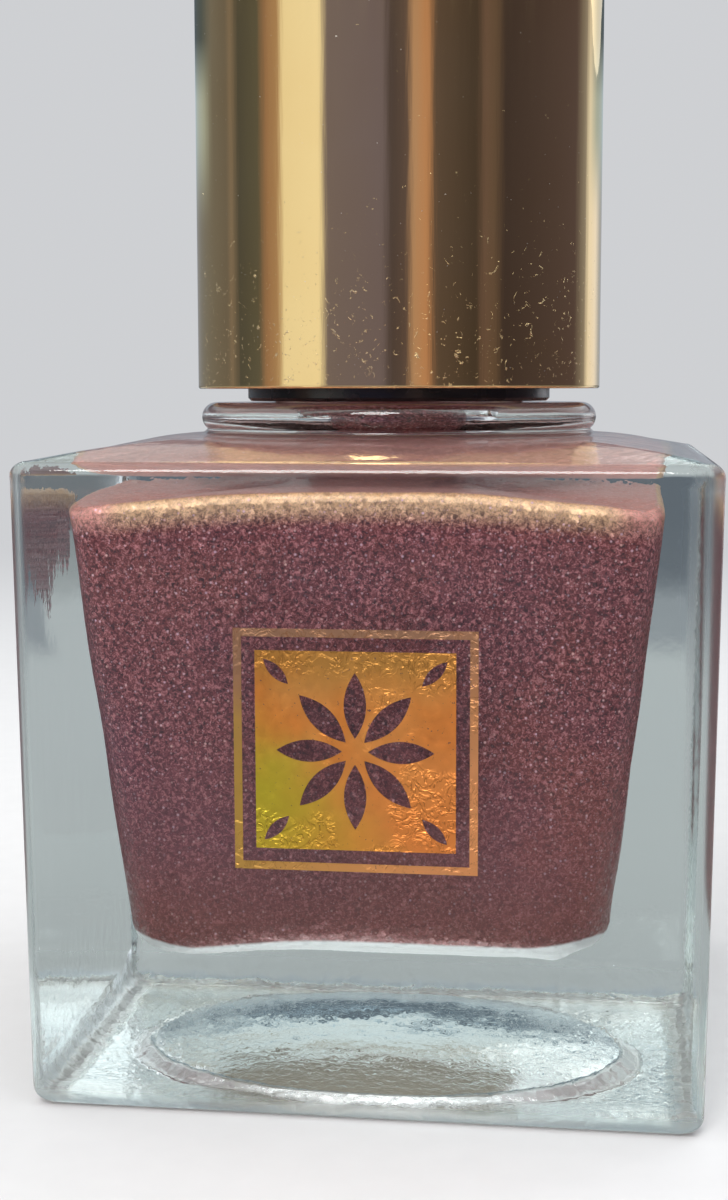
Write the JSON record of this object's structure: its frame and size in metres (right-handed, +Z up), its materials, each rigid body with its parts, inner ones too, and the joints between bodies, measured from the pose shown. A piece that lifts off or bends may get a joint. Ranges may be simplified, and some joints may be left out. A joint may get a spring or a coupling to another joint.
{
  "type": "nail polish bottle",
  "caption": "Square clear-glass nail polish bottle of pearl lacquer, with a foil square on its front and a tall gold cap that unscrews and lifts out with its brush.",
  "frame": {"origin": "centre of the bottle's base, on the surface that it stands on", "axes": "+Z up along the neck and the cap, -Y out of the front face that carries the foil, +X to the right as seen from the front"},
  "size_m": [0.03, 0.03, 0.0725],
  "materials": {
    "clear_glass": "polished clear glass, faint cool tint, fine scuffs",
    "pearl_lacquer": "mauve-brown liquid lacquer with fine copper and violet pearl pigment",
    "ball_steel": "polished stainless steel",
    "frame_foil": "hot-stamped copper foil, slightly rough",
    "panel_foil": "hot-stamped orange-gold foil with a rainbow cast",
    "liner_foam": "matt polyethylene foam",
    "black_plastic": "glossy black polypropylene",
    "sleeve_plastic": "natural white polypropylene",
    "mirror_gold": "mirror-polished gold-anodised metal, light scratches and dust",
    "stem_plastic": "black polypropylene wetted with lacquer",
    "bristle": "nylon filaments wetted with lacquer",
    "staple_brass": "drawn brass wire"
  },
  "bodies": {
    "root": {"glass_bottle": "clear_glass", "lacquer_fill": "pearl_lacquer", "foil_frame": "frame_foil", "foil_panel": "panel_foil"},
    "liner": {"sealing_liner": "liner_foam"},
    "cap": {"inner_cap": "black_plastic", "overcap_sleeve": "sleeve_plastic", "overcap_shell": "mirror_gold", "brush_stem": "stem_plastic", "brush_tuft": "bristle", "tuft_staple": "staple_brass"},
    "ball_front": {"mixing_ball_front": "ball_steel"},
    "ball_back": {"mixing_ball_back": "ball_steel"}
  },
  "joints": [
    {"name": "cap_lift", "type": "slide", "parent": "root", "child": "liner", "axis": [0, 0, 1], "range_m": [0, 0.045]},
    {"name": "cap_turn", "type": "hinge", "parent": "liner", "child": "cap", "pos_m": [0, 0, 0.042], "axis": [0, 0, 1], "range_deg": [0, 360]},
    {"name": "ball_front_roll", "type": "slide", "parent": "root", "child": "ball_front", "axis": [1, 0, 0], "range_m": [-0.0074, 0.0022]},
    {"name": "ball_back_roll", "type": "slide", "parent": "root", "child": "ball_back", "axis": [1, 0, 0], "range_m": [-0.0014, 0.0082]}
  ]
}
